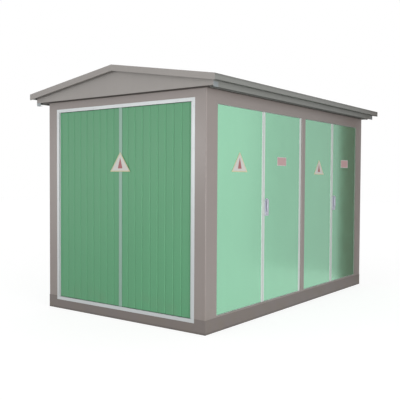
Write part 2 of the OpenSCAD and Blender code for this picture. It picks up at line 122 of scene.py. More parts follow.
class SubstationPaint(bpy.types.PropertyGroup):
    """Colours of the substation's finishes."""

    frame: colour_value("Frame", "Enamel on the posts and rails", (142, 133, 129))
    base: colour_value("Base", "Enamel on the channel base", (115, 107, 104))
    roof: colour_value("Roof", "Enamel on the roof and the gables", (152, 147, 143))
    eave: colour_value("Eaves", "Grey-green enamel along the eaves", (126, 127, 123))
    # Dark soffit colour: painted shade under the roof's overhang, on the ceiling panel
    soffit_shade: colour_value("Soffit", "Dark sheet under the roof's edge", (66, 60, 56))
    floor: colour_value("Floor", "Paint on the floor plate", (120, 118, 115))
    door: colour_value("Doors", "Glossy coating on the door leaves", (146, 208, 173))
    end_panel: colour_value("End walls", "Coating on the ribbed panels", (86, 152, 110))
    aluminium: colour_value("Aluminium", "Satin aluminium of the trims", (190, 194, 195))
    door_trim: colour_value("Door trims", "Aluminium of the door stiles", (212, 220, 216))
    zinc: colour_value("Zinc", "Galvanised caps and brackets", (146, 152, 154))
    joint_strip: colour_value(
        "Joint strips", "Greenish grey strips of the end walls", (136, 165, 151),
    )
    lock: colour_value("Locks", "Plating on the lock furniture", (190, 192, 204))
    dust: colour_value("Dust", "Dust and splashed dirt", (120, 112, 100))
    # Dark colour of the painted shade in corners and gaps, and of the dirt there; it also
    # darkens the base's foot and the fascia's top
    shade_and_grime: colour_value("Grime", "Dirt gathered in corners", (52, 50, 46))
    # Dark gasket colour: rubber, and also a painted shade line along the end panels' top and
    # bottom edges
    rubber: colour_value("Rubber", "Dark rubber of the gaskets", (62, 76, 70))
    # Pale seal colour: painted light in the gaps round the doors, standing for lit reveals and
    # covering the shade there
    lit_seal: colour_value("Seals", "Pale rubber of the door seals", (230, 234, 232))
    field: colour_value("Plate field", "Pale field of the sign plates", (202, 200, 196))
    border: colour_value(
        "Plate border", "Yellow border of the triangular plates", (198, 194, 158),
    )
    accent: colour_value("Plate accent", "Dull red of the plates' plain shapes", (158, 92, 92))
    notice: colour_value(
        "Notice plate", "Pink field of the rectangular plates", (186, 152, 152),
    )


class SubstationFittings(bpy.types.PropertyGroup):
    """Sizes of the substation's small fittings."""

    plate_thickness: length_value("Plate thickness", "Thickness of a sign plate", 0.002)
    plate_border: length_value("Plate border", "Width of a sign plate's border", 0.011)
    rivet_radius: length_value("Rivet radius", "Radius of a rivet's head", 0.004)
    screw_radius: length_value("Screw radius", "Radius of a screw's head", 0.005)
    screw_pitch: length_value("Screw pitch", "Distance between screws on the trims", 0.42)
    seal_thickness: length_value("Seal thickness", "Thickness of a door seal", 0.0028)
    seal_depth: length_value("Seal depth", "Depth of a door seal", 0.020)
    cap_length: length_value("Cap length", "Length of a cap on an eave beam's end", 0.077)
    cap_thickness: length_value("Cap thickness", "Thickness of the caps' sheet", 0.0015)
    bracket_drop: length_value("Bracket drop", "Height of the brackets below the beams", 0.022)
    bead_width: length_value("Bead width", "Width of the beads beside the end stiles", 0.007)
    inner_bead_width: length_value(
        "Inner bead width", "Width of the beads on the side of the doors", 0.020,
    )
    bead_depth: length_value("Bead depth", "Height of the beads above the panels", 0.005)
    gasket_width: length_value("Gasket width", "Width of the gasket round an end wall", 0.004)


class SubstationStage(bpy.types.PropertyGroup):
    """Camera, floor and light round the substation."""

    lens: bpy.props.FloatProperty(
        name="Lens", description="Focal length of the camera", default=55.89, unit="CAMERA",
    )
    yaw: bpy.props.FloatProperty(
        name="Yaw", description="Direction of view, turned from +X", default=2.20965,
        subtype="ANGLE",
    )
    pitch: bpy.props.FloatProperty(
        name="Pitch", description="Tilt of the view above the horizon", default=-0.033927,
        subtype="ANGLE",
    )
    roll: bpy.props.FloatProperty(
        name="Roll", description="Turn of the camera about its view", default=0.005563,
        subtype="ANGLE",
    )
    eye: bpy.props.FloatVectorProperty(
        name="Eye", description="Place of the camera", default=(4.4825, -6.4851, 1.4625),
        subtype="TRANSLATION", size=3,
    )
    sky: bpy.props.FloatProperty(
        name="Sky", description="Strength of the pale surroundings", default=0.54, min=0,
    )
    floor_glow: bpy.props.FloatProperty(
        name="Floor glow", description="Brightness that the camera sees on top of the light",
        default=0.80, min=0,
    )
    key: bpy.props.FloatProperty(
        name="Key light", description="Power of the large soft lamp", default=460, min=0,
        unit="POWER",
    )


class Socket:
    """An output of a node, which Python's arithmetic turns into Math nodes."""

    def __init__(self, finish, output):
        self.finish = finish
        self.output = output

    def math(self, operation, *terms):
        return self.finish.node("ShaderNodeMath", {"operation": operation}, terms)

    def __add__(self, other):
        return self.math("ADD", self, other)

    def __radd__(self, other):
        return self.math("ADD", other, self)

    def __sub__(self, other):
        return self.math("SUBTRACT", self, other)

    def __rsub__(self, other):
        return self.math("SUBTRACT", other, self)

    def __mul__(self, other):
        return self.math("MULTIPLY", self, other)

    def clamp(self):
        """The value held between 0 and 1."""
        return self.finish.node("ShaderNodeClamp", {}, (self,))


class Finish:
    """One material: its Principled shader and the nodes that feed it."""

    def __init__(self, name):
        self.material = bpy.data.materials.new(name)
        self.material.use_nodes = True
        self.tree = self.material.node_tree
        self.shader = self.tree.nodes["Principled BSDF"]
        self.place = self.node("ShaderNodeTexCoord", output="Object")

    def node(self, kind, settings=None, inputs=(), output=0):
        """Adds a node: its settings first, then its sockets by order or by name."""
        made = self.tree.nodes.new(kind)
        for setting, value in (settings or {}).items():
            setattr(made, setting, value)
        named = inputs if isinstance(inputs, dict) else dict(enumerate(inputs))
        for socket, value in named.items():
            if isinstance(value, Socket):
                self.tree.links.new(value.output, made.inputs[socket])
            else:
                made.inputs[socket].default_value = value
        return Socket(self, made.outputs[output])

    def noise(self, scale, detail=3.0, stretch=(1, 1, 1)):
        """Smooth noise of that many features a metre, stretched along the axes."""
        place = self.place
        if tuple(stretch) != (1, 1, 1):
            place = self.node("ShaderNodeMapping", {}, {"Vector": place, "Scale": stretch})
        return self.node(
            "ShaderNodeTexNoise", {}, {"Vector": place, "Scale": scale, "Detail": detail},
        )

    def height(self):
        """Height above the ground in metres."""
        return self.node("ShaderNodeSeparateXYZ", {}, (self.place,), output="Z")

    def band(self, value, low, high):
        """0 below low and 1 above high, with a smooth change between them."""
        settings = {"interpolation_type": "SMOOTHSTEP"}
        return self.node("ShaderNodeMapRange", settings, (value, low, high, 0.0, 1.0))

    def mix(self, share, first, second):
        """The first colour, with a share of the second in it."""
        def opaque(colour):
            return colour if isinstance(colour, Socket) else (*colour, 1.0)

        inputs = {0: share, 6: opaque(first), 7: opaque(second)}
        return self.node("ShaderNodeMix", {"data_type": "RGBA"}, inputs, output=2)

    def toned(self, colour, tone):
        """A colour made lighter or darker by a factor near 1."""
        inputs = {0: colour if isinstance(colour, Socket) else tuple(colour), "Scale": tone}
        return self.node("ShaderNodeVectorMath", {"operation": "SCALE"}, inputs)

    def rounded(self, radius):
        """Normal of the surface with its edges rounded off."""
        return self.node("ShaderNodeBevel", {"samples": 6}, {"Radius": radius})

    def edges(self, radius):
        """1 on outer edges, 0 on flat surfaces."""
        flat = self.node("ShaderNodeNewGeometry", output="Normal")
        settings = {"operation": "DOT_PRODUCT"}
        likeness = self.node(
            "ShaderNodeVectorMath", settings, (self.rounded(radius), flat), output="Value",
        )
        return self.band(1 - likeness, 0.01, 0.2)

    def corners(self, reach):
        """1 deep in inner corners and gaps, 0 in the open: the mask of the painted shade."""
        seen = self.node(
            "ShaderNodeAmbientOcclusion", {"samples": 8}, {"Distance": reach}, output="AO",
        )
        return 1 - seen

    def bump(self, height, depth, normal):
        """Normal with a fine relief of that depth in metres."""
        inputs = {"Strength": 1.0, "Distance": depth, "Height": height, "Normal": normal}
        return self.node("ShaderNodeBump", {}, inputs)

    def feed(self, **sockets):
        """Feeds the shader: colour, roughness, normal and other sockets by name."""
        for name, value in sockets.items():
            socket = self.shader.inputs[name.replace("_", " ").title()]
            if isinstance(value, Socket):
                self.tree.links.new(value.output, socket)
            elif isinstance(value, tuple):
                socket.default_value = (*value, 1.0)
            else:
                socket.default_value = value
        return self.material


def paint():
    """The colours of the scene that is being built."""
    return bpy.context.scene.substation_paint


def enamel(finish, colour, rough, streaks, dirt, gloss=0.0, flakes=0.0, reach=0.02, shade=0.3):
    """Sprayed enamel: cloudy tone, rain streaks, splashed dirt, painted shade in corners,
    edges lightened by wear and a painted highlight, and orange peel.
    """
    clouds = finish.noise(CLOUD_SCALE, 2.0)
    mottle = finish.noise(MOTTLE_SCALE, 4.0)
    runs = finish.noise(1.0, 4.0, stretch=RUN_STRETCH)
    tone = 1 + (clouds - 0.5) * 0.10 + (mottle - 0.5) * 0.05 + (runs - 0.5) * streaks
    base = finish.toned(colour, tone)
    low = 1 - finish.band(finish.height(), 0.0, SPLASH_HEIGHT)
    splash = (low * finish.band(mottle, 0.35, 0.75) * dirt).clamp()
    base = finish.mix(splash, base, paint().dust)
    # Painted shade: the colour darkens in corners and gaps, by how little of the surroundings
    # they see
    crevice_shade = finish.band(finish.corners(reach), 0.35, 0.95) * shade
    base = finish.mix(crevice_shade, base, paint().shade_and_grime)
    # Lighter edges: partly wear on the paint, partly a painted highlight along the rounded
    # edges
    edge_wear_and_highlight = finish.edges(EDGE_RADIUS) * finish.band(mottle, 0.45, 0.7) * 0.35
    base = finish.mix(edge_wear_and_highlight, base, finish.toned(colour, 1.5))
    scuffs = finish.noise(SCUFF_SCALE, 3.0)
    roughness = (rough + (mottle - 0.5) * 0.10 + (scuffs - 0.5) * 0.06 + splash * 0.25).clamp()
    peel = finish.noise(PEEL_SCALE, 1.0)
    normal = finish.bump(peel, PEEL_DEPTH, finish.rounded(EDGE_RADIUS))
    return finish.feed(
        base_color=base, roughness=roughness, normal=normal, coat_weight=gloss,
        coat_roughness=0.12, metallic=flakes,
    )


def frame_finish(finish):
    """Semi-gloss taupe enamel."""
    return enamel(finish, paint().frame, 0.33, 0.05, 0.35)


def base_finish(finish):
    """The same enamel on the base, with more splashed dirt and a dark foot."""
    foot = 1 - finish.band(finish.height(), *FOOT)
    colour = finish.mix(foot * 0.45, paint().base, paint().shade_and_grime)
    return enamel(finish, colour, 0.50, 0.04, 0.40)


def roof_finish(finish):
    """Warm grey enamel with rain streaks, weathered grey-green along the eaves."""
    normal = finish.node("ShaderNodeNewGeometry", output="Normal")
    across = finish.node("ShaderNodeSeparateXYZ", {}, (normal,), output="X")
    side = finish.band(across * across, 0.5, 0.9)
    # The long sides' fascia darkens towards its top edge
    top_edge = finish.band(finish.height(), *EAVE_TOP)
    grey = finish.mix(top_edge * 0.4, paint().eave, paint().shade_and_grime)
    colour = finish.mix(side, paint().roof, grey)
    # A wide reach and a strong share of painted shade darken the corners under the eaves
    return enamel(finish, colour, 0.45, 0.08, 0.0, reach=0.05, shade=0.6)


def eave_finish(finish):
    """Weathered grey-green enamel on the beams along the eaves."""
    # A wide reach and a strong share of painted shade darken the corners under the eaves
    return enamel(finish, paint().eave, 0.45, 0.06, 0.0, reach=0.05, shade=0.6)


def soffit_shade_finish(finish):
    """Sheet that closes the body under the roof, painted dark: painted shade under the
    overhang.
    """
    return enamel(finish, paint().soffit_shade, 0.65, 0.0, 0.0)


def floor_finish(finish):
    """Grey paint on the floor plate."""
    return enamel(finish, paint().floor, 0.6, 0.0, 0.4)


def door_finish(finish):
    """Smooth glossy coating on the doors, plain on their inner sides."""
    across = finish.node("ShaderNodeSeparateXYZ", {}, (finish.place,), output="X")
    skin = finish.band(across * across, (OUTER_FACE - 0.002) ** 2, (OUTER_FACE - 0.001) ** 2)
    return enamel(finish, paint().door, 0.22, 0.06, 0.06, gloss=skin * 0.5, flakes=skin * 0.7)


def end_panel_finish(finish):
    """Coating on the ribbed sheets, less glossy than the doors."""
    return enamel(finish, paint().end_panel, 0.48, 0.06, 0.2)


def drawn_metal(finish, colour, metal, rough):
    """Extruded metal, drawn along its length, with painted shade and dirt in its corners."""
    drawn = finish.noise(1.0, 3.0, stretch=DRAWN_STRETCH)
    cloud = finish.noise(2.3, 3.0)
    base = finish.toned(colour, 1 + (cloud - 0.5) * 0.10 + (drawn - 0.5) * 0.06)
    # Painted shade: the colour darkens in corners and gaps
    crevice_shade = finish.band(finish.corners(0.015), 0.35, 0.95) * 0.5
    base = finish.mix(crevice_shade, base, paint().shade_and_grime)
    roughness = (rough + (drawn - 0.5) * 0.14 + (cloud - 0.5) * 0.10).clamp()
    normal = finish.bump(drawn, FINE_DEPTH, finish.rounded(TRIM_RADIUS))
    return finish.feed(base_color=base, metallic=metal, roughness=roughness, normal=normal)


def aluminium_finish(finish):
    """Satin aluminium of the end frames and the far side's trims."""
    return drawn_metal(finish, paint().aluminium, 0.35, 0.42)


def door_trim_finish(finish):
    """Brighter aluminium of the door stiles."""
    return drawn_metal(finish, paint().door_trim, 0.45, 0.36)


def zinc_finish(finish):
    """Galvanised sheet of the caps and brackets at the eaves."""
    return drawn_metal(finish, paint().zinc, 0.3, 0.5)


def joint_strip_finish(finish):
    """Duller strips over the joints of the end walls."""
    return drawn_metal(finish, paint().joint_strip, 0.2, 0.5)


def lock_finish(finish):
    """Dull zinc plating with finger marks and painted shade in its corners."""
    cloud = finish.noise(26.0, 4.0)
    base = finish.toned(paint().lock, 1 + (cloud - 0.5) * 0.16)
    # Painted shade: the colour darkens in the plate's corners
    base = finish.mix(finish.corners(0.008) * 0.35, base, paint().shade_and_grime)
    roughness = (0.34 + (cloud - 0.5) * 0.22).clamp()
    normal = finish.bump(finish.noise(700.0, 1.0), FINE_DEPTH, finish.rounded(0.002))
    return finish.feed(base_color=base, metallic=0.4, roughness=roughness, normal=normal)


def rubber(finish, colour):
    """Matt rubber, a little dusty."""
    cloud = finish.noise(30.0, 4.0)
    base = finish.mix(finish.band(cloud, 0.45, 0.8) * 0.3, colour, paint().dust)
    roughness = (0.7 + (cloud - 0.5) * 0.2).clamp()
    normal = finish.bump(finish.noise(500.0, 2.0), 0.00005, finish.rounded(0.001))
    return finish.feed(base_color=base, roughness=roughness, normal=normal)


def gasket_finish(finish):
    """Dark rubber of the gaskets round the end walls, which also paints a shade line along the
    panels' top and bottom edges.
    """
    return rubber(finish, paint().rubber)


def lit_seal_finish(finish):
    """Door seals in a pale colour: painted light that stands for the lit reveals beside the
    leaves and covers the shade in the gaps.
    """
    return rubber(finish, paint().lit_seal)


def printed(finish, colour):
    """Faded print on an aluminium plate."""
    cloud = finish.noise(22.0, 4.0)
    base = finish.toned(colour, 1 + (cloud - 0.5) * 0.14)
    base = finish.mix(finish.band(cloud, 0.6, 0.85) * 0.25, base, paint().dust)
    roughness = (0.45 + (cloud - 0.5) * 0.2).clamp()
    normal = finish.bump(finish.noise(600.0, 1.0), FINE_DEPTH, finish.rounded(0.001))
    return finish.feed(base_color=base, roughness=roughness, normal=normal)


def field_finish(finish):
    """Pale field of the sign plates."""
    return printed(finish, paint().field)


def border_finish(finish):
    """Yellow border of the triangular plates."""
    return printed(finish, paint().border)


def accent_finish(finish):
    """Dull red of the plain triangle on a plate."""
    return printed(finish, paint().accent)


def notice_finish(finish):
    """Pink field of the rectangular plates."""
    return printed(finish, paint().notice)


FINISHES = {
    "frame": frame_finish, "base": base_finish, "roof": roof_finish, "floor": floor_finish,
    "door": door_finish, "end_panel": end_panel_finish, "trim": aluminium_finish,
    "lock": lock_finish, "gasket": gasket_finish, "lit_seal": lit_seal_finish,
    "eave": eave_finish, "soffit_shade": soffit_shade_finish, "joint_strip": joint_strip_finish,
    "door_trim": door_trim_finish, "zinc": zinc_finish,
    "field": field_finish, "border": border_finish, "accent": accent_finish,
    "notice": notice_finish,
}


def material(name):
    """The finish of that name, made the first time that it is asked for."""
    title = f"substation_{name}"
    if title not in bpy.data.materials:
        FINISHES[name](Finish(title))
    return bpy.data.materials[title]


def coat_nodes(slot_name):
    """Gives every node of one of the record's slots its finish."""
    found = 0
    for part in frame["record"]["subparts"]:
        if part["material_slot"] == slot_name:
            mesh = NODES[part["node"]].data
            mesh.materials.clear()
            mesh.materials.append(material(slot_name))
            found += 1
    if not found:
        raise RuntimeError(f"no node takes the slot {slot_name}")


def coat(finish_name, *names):
    """Gives single nodes a finish other than their slot's."""
    for name in names:
        NODES[name].data.materials.clear()
        NODES[name].data.materials.append(material(finish_name))


def deselect():
    """Leaves no object selected."""
    bpy.ops.object.select_all(action="DESELECT")


def settle(piece, name):
    """Names a piece and bakes its place into its mesh."""
    piece.name = name
    piece.data.name = name
    deselect()
    piece.select_set(True)
    bpy.context.view_layer.objects.active = piece
    bpy.ops.object.transform_apply(location=True, rotation=True, scale=True)
    return piece


def edit(piece, chosen):
    """Opens a piece in edit mode with only those faces selected whose index passes."""
    for part in (*piece.data.vertices, *piece.data.edges):
        part.select = False
    for face in piece.data.polygons:
        face.select = chosen(face)
    deselect()
    piece.select_set(True)
    bpy.context.view_layer.objects.active = piece
    bpy.context.tool_settings.mesh_select_mode = (False, False, True)
    bpy.ops.object.mode_set(mode="EDIT")


def done():
    """Leaves edit mode."""
    bpy.ops.object.mode_set(mode="OBJECT")


def block(name, low, high, edge):
    """A bar from one corner to the other with its edges rounded off."""
    low = Vector(low)
    high = Vector(high)
    deselect()
    bpy.ops.mesh.primitive_cube_add(size=1, location=(low + high) / 2, scale=high - low)
    piece = settle(bpy.context.object, name)
    edit(piece, lambda face: True)
    bpy.ops.mesh.bevel(offset=edge, segments=2, affect="EDGES")
    done()
    return piece


def joined(name, pieces):
    """Several pieces as one mesh."""
    deselect()
    for piece in pieces:
        piece.select_set(True)
    bpy.context.view_layer.objects.active = pieces[0]
    if len(pieces) > 1:
        bpy.ops.object.join()
    return settle(bpy.context.view_layer.objects.active, name)


def dress(piece, finish_name, body):
    """Gives a new piece its finish and the body that it rides on."""
    piece.data.materials.clear()
    piece.data.materials.append(material(finish_name))
    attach(piece, body)
    return piece


def facing(normal):
    """Turns a piece that faces up so that it faces along a normal, its own top upwards."""
    if abs(normal.z) > 0.5:
        return Matrix.Identity(4)
    across = UP.cross(normal)
    return Matrix((across, UP, normal)).transposed().to_4x4()


def spread(name, model, places):
    """Copies of one model at each place, each with its own mesh, joined to one piece."""
    copies = []
    for place, normal in places:
        copy = model.copy()
        copy.data = model.data.copy()
        bpy.context.scene.collection.objects.link(copy)
        copy.matrix_world = Matrix.Translation(place) @ facing(normal)
        copies.append(copy)
    bpy.data.objects.remove(model)
    return joined(name, copies)


def rivet(radius):
    """A domed rivet head that stands on its surface."""
    deselect()
    bpy.ops.mesh.primitive_cylinder_add(
        vertices=10, radius=radius, depth=radius * 0.3, location=(0, 0, radius * 0.15),
    )
    head = settle(bpy.context.object, "rivet")
    for share, rise in ((0.25, 0.18), (0.45, 0.10)):
        edit(head, lambda face: face.normal.z > 0.9)
        bpy.ops.mesh.inset(thickness=radius * share)
        bpy.ops.transform.translate(value=(0, 0, radius * rise))
        done()
    return head


def screw(radius):
    """A flat screw head with a six-sided socket."""
    deselect()
    bpy.ops.mesh.primitive_cylinder_add(
        vertices=12, radius=radius, depth=radius * 0.4, location=(0, 0, radius * 0.2),
    )
    head = settle(bpy.context.object, "screw")
    edit(head, lambda face: face.normal.z > 0.9)
    bpy.ops.mesh.inset(thickness=radius * 0.18)
    bpy.ops.transform.translate(value=(0, 0, radius * 0.15))
    bpy.ops.mesh.inset(thickness=radius * 0.36)
    bpy.ops.mesh.inset(thickness=radius * 0.03)
    bpy.ops.transform.translate(value=(0, 0, -radius * 0.3))
    done()
    return head


def steps(low, high, pitch):
    """Evenly spaced places from low to high, about a pitch apart."""
    count = max(1, round((high - low) / pitch))
    return [low + (high - low) * i / count for i in range(count + 1)]


class SubstationOperator(bpy.types.Operator):
    """Base of the operators, which share their options."""

    bl_options = {"REGISTER", "UNDO"}


class SUBSTATION_OT_steelwork(SubstationOperator):
    """Paint the base, the frame, the floor and the roof"""

    bl_idname = "substation.steelwork"
    bl_label = "Steelwork"

    def execute(self, context):
        for slot_name in ("base", "frame", "floor", "roof"):
            coat_nodes(slot_name)
        coat("eave", "eave_beam_right", "eave_beam_left")
        # The ceiling panel's dark colour is painted shade under the overhang
        coat("soffit_shade", "ceiling_panel")
        return {"FINISHED"}


class SUBSTATION_OT_panels(SubstationOperator):
    """Coat the doors, the end walls, the aluminium trims and the locks"""

    bl_idname = "substation.panels"
    bl_label = "Doors and panels"

    def execute(self, context):
        for slot_name in ("door", "end_panel", "trim", "lock"):
            coat_nodes(slot_name)
        coat("joint_strip", "front_centre_strip", "rear_centre_strip")
        coat("door_trim", *(f"door_{number}_stiles" for number in (1, 2, 3, 4)))
        return {"FINISHED"}


# Triangular plates: name, body, node behind, facing, (middle, bottom height), (width, height)
TRIANGLES = (
    (
        "plate_front_wall", "enclosure", "front_centre_strip", FRONT,
        (-0.003, 1.533), (0.283, 0.202),
    ),
    ("plate_door_1", "door_leaf_1", "door_1", RIGHT, (-1.256, 1.534), (0.290, 0.200)),
    ("plate_door_3", "door_leaf_3", "door_3", RIGHT, (0.534, 1.525), (0.270, 0.180)),
)

# Rectangular plates: name, body, node behind, (middle, bottom height), (width, height)
RECTANGLES = (
    ("notice_door_2", "door_leaf_2", "door_2", (-0.400, 1.613), (0.200, 0.094)),
    ("notice_door_4", "door_leaf_4", "door_4", (1.293, 1.620), (0.220, 0.101)),
)

# Plain triangle on a plate, as shares of the plate's height: inset, middle; and its shape
ACCENT_INSET = 0.14
ACCENT_MIDDLE = 0.34
ACCENT_SHAPE = (0.5, 1.2, 1)


def surface_at(node, normal, spot):
    """Place on the outer face of a node, at a distance along the wall and a height."""
    low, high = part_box(node)
    along, height = spot
    if normal == RIGHT:
        return Vector((high.x, along, height))
    return Vector((along, low.y, height))


def round_corners(plate, offset):
    """Rounds the outer corners of a plate that lies flat on z = 0."""
    points = [v.co for v in plate.data.vertices]
    for part in (*plate.data.vertices, *plate.data.polygons):
        part.select = False
    for side in plate.data.edges:
        first, second = (points[i] for i in side.vertices)
        side.select = (first - second).xy.length < 1e-6 and min(first.z, second.z) < 1e-6
    bpy.context.tool_settings.mesh_select_mode = (False, True, False)
    bpy.ops.object.mode_set(mode="EDIT")
    bpy.ops.mesh.bevel(offset=offset, segments=4, affect="EDGES")
    done()


def lower_face(plate, thickness, drop, finish_name):
    """Insets the front face, moves it and gives it a finish of its own."""
    bpy.ops.mesh.inset(thickness=thickness)
    bpy.ops.transform.translate(value=(0, 0, drop))
    plate.data.materials.append(material(finish_name))
    plate.active_material_index = len(plate.data.materials) - 1
    bpy.ops.object.material_slot_assign()


def triangle_plate(name, width, height, thickness, border):
    """A triangular plate with a raised rim and a small plain triangle in its middle."""
    deselect()
    bpy.ops.mesh.primitive_cylinder_add(
        vertices=3, radius=1, depth=thickness, location=(0, 0, thickness / 2),
    )
    plate = settle(bpy.context.object, name)
    points = [v.co for v in plate.data.vertices]
    low = Vector((min(p.x for p in points), min(p.y for p in points), 0))
    high = Vector((max(p.x for p in points), max(p.y for p in points), 1))
    share = Vector((width / (high.x - low.x), height / (high.y - low.y), 1))
    plate.scale = share
    plate.location = -Vector(((low.x + high.x) / 2 * share.x, low.y * share.y, 0))
    settle(plate, name)
    plate.data.materials.append(material("border"))
    edit(plate, lambda face: face.normal.z > 0.9)
    lower_face(plate, border, -thickness * 0.3, "field")
    lower_face(plate, height * ACCENT_INSET, thickness * 0.15, "accent")
    middle = (0, height * ACCENT_MIDDLE, thickness)
    bpy.ops.transform.resize(value=ACCENT_SHAPE, center_override=middle)
    done()
    round_corners(plate, border * 0.7)
    return plate


def notice_plate(name, width, height, thickness, border):
    """A rectangular plate with rounded corners, a pale rim and a plain field."""
    deselect()
    bpy.ops.mesh.primitive_cube_add(
        size=1, location=(0, height / 2, thickness / 2), scale=(width, height, thickness),
    )
    plate = settle(bpy.context.object, name)
    plate.data.materials.append(material("field"))
    edit(plate, lambda face: face.normal.z > 0.9)
    lower_face(plate, border, -thickness * 0.25, "notice")
    done()
    round_corners(plate, border)
    return plate


class SUBSTATION_OT_plates(SubstationOperator):
    """Add the blank plates on the doors and the end wall"""

    bl_idname = "substation.plates"
    bl_label = "Plates"

    def execute(self, context):
        sizes = context.scene.substation_fittings
        thick = sizes.plate_thickness
        border = sizes.plate_border
        for name, body, node, normal, spot, size in TRIANGLES:
            plate = triangle_plate(name, *size, thick, border)
            place = surface_at(node, normal, spot)
            plate.matrix_world = Matrix.Translation(place) @ facing(normal)
            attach(settle(plate, name), body)
        for name, body, node, spot, size in RECTANGLES:
            plate = notice_plate(name, *size, thick, border / 2)
            place = surface_at(node, RIGHT, spot)
            plate.matrix_world = Matrix.Translation(place) @ facing(RIGHT)
            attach(settle(plate, name), body)
        return {"FINISHED"}


class SUBSTATION_OT_seals(SubstationOperator):
    """Add the gaskets round the end walls, partly a painted shade line, and the pale seals
    round the doors, painted light over the gaps
    """

    bl_idname = "substation.seals"
    bl_label = "Seals"

    def execute(self, context):
        sizes = context.scene.substation_fittings
        width = sizes.gasket_width
        for end, sign in (("front", -1), ("rear", 1)):
            low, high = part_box(f"{end}_panels")
            face = low.y if sign < 0 else high.y
            near, far = sorted((face - sign * 0.001, face + sign * width))
            bars = [
                block("bar", (low.x, near, low.z), (high.x, far, low.z + width), 0.001),
                block("bar", (low.x, near, high.z - width), (high.x, far, high.z), 0.001),
            ]
            # Dark gaskets: rubber, and also a painted shade line along the panels' edges
            dress(joined(f"{end}_gasket", bars), "gasket", "enclosure")
            near, far = sorted((face - sign * 0.001, face + sign * sizes.bead_depth))
            beads = [
                block("bead", (left, near, low.z), (left + wide, far, high.z), 0.0015)
                for left, wide in (
                    (low.x, sizes.bead_width),
                    (high.x - sizes.inner_bead_width, sizes.inner_bead_width),
                )
            ]
            dress(joined(f"{end}_beads", beads), "trim", "enclosure")
        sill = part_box("door_sills")[1].z
        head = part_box("top_rail_right")[0].z
        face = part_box("door_1")[1].x
        bars = []
        for node, side in (
            ("corner_post_front_right", 1), ("mullion_right", -1),
            ("mullion_right", 1), ("corner_post_rear_right", -1),
        ):
            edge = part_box(node)[(side + 1) // 2].y
            near, far = sorted((edge, edge + side * sizes.seal_thickness))
            bars.append(block(
                "bar", (face - sizes.seal_depth, near, sill), (face - 0.002, far, head), 0.001,
            ))
        for left, right in (
            ("corner_post_front_right", "mullion_right"),
            ("mullion_right", "corner_post_rear_right"),
        ):
            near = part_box(left)[1].y
            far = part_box(right)[0].y
            for bottom in (sill, head - sizes.seal_thickness):
                bars.append(block(
                    "bar", (face - sizes.seal_depth, near, bottom),
                    (face - 0.002, far, bottom + sizes.seal_thickness), 0.001,
                ))
        # The pale seals paint light into the gaps round the leaves, where shade would fall
        dress(joined("door_seals", bars), "lit_seal", "enclosure")
        return {"FINISHED"}


# Screws of an end frame, in metres: from its outer edges, and from its stiles' and rails' ends
SCREW_INSET = 0.0175
STILE_MARGIN = 0.08
RAIL_MARGIN = 0.2

# Screws of a lock plate, in metres: their radius and their height over the door
LOCK_SCREW_RADIUS = 0.0035
LOCK_SCREW_HEIGHT = 0.004


class SUBSTATION_OT_fasteners(SubstationOperator):
    """Add the screws of the end walls' frames and of the locks"""

    bl_idname = "substation.fasteners"
    bl_label = "Fasteners"

    def execute(self, context):
        sizes = context.scene.substation_fittings
        places = []
        for end, normal in (("front", FRONT), ("rear", REAR)):
            low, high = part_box(f"{end}_frame_stiles")
            face = low.y if end == "front" else high.y
            for z in steps(low.z + STILE_MARGIN, high.z - STILE_MARGIN, sizes.screw_pitch):
                places.append(((low.x + SCREW_INSET, face, z), normal))
                places.append(((high.x - SCREW_INSET, face, z), normal))
            for x in steps(low.x + RAIL_MARGIN, high.x - RAIL_MARGIN, sizes.screw_pitch):
                places.append(((x, face, low.z + SCREW_INSET), normal))
                places.append(((x, face, high.z - SCREW_INSET), normal))
        model = screw(sizes.screw_radius)
        dress(spread("frame_screws", model, places), "trim", "enclosure")
        for number in (2, 4):
            low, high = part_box(f"lock_plate_{number}")
            node = NODES[f"lock_plate_{number}"]
            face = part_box(f"door_{number}")[1].x + LOCK_SCREW_HEIGHT
            middle = (low.y + high.y) / 2
            places = [((face, middle + dy, low.z + 0.010), RIGHT) for dy in (-0.022, 0.022)]
            places += [((face, middle + dy, high.z - 0.036), RIGHT) for dy in (-0.024, 0.024)]
            piece = spread(f"lock_screws_{number}", screw(LOCK_SCREW_RADIUS), places)
            dress(piece, "lock", node["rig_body"])
        return {"FINISHED"}


# Metres: from a cap's edges to its rivets, and how far a bracket overlaps the beam
CAP_MARGIN = 0.012
BRACKET_LAP = 0.012

# Shares of a cap's length: place of its rivets, and length of a bracket's foot
RIVET_SHARE = 0.75
BRACKET_SHARE = 0.4


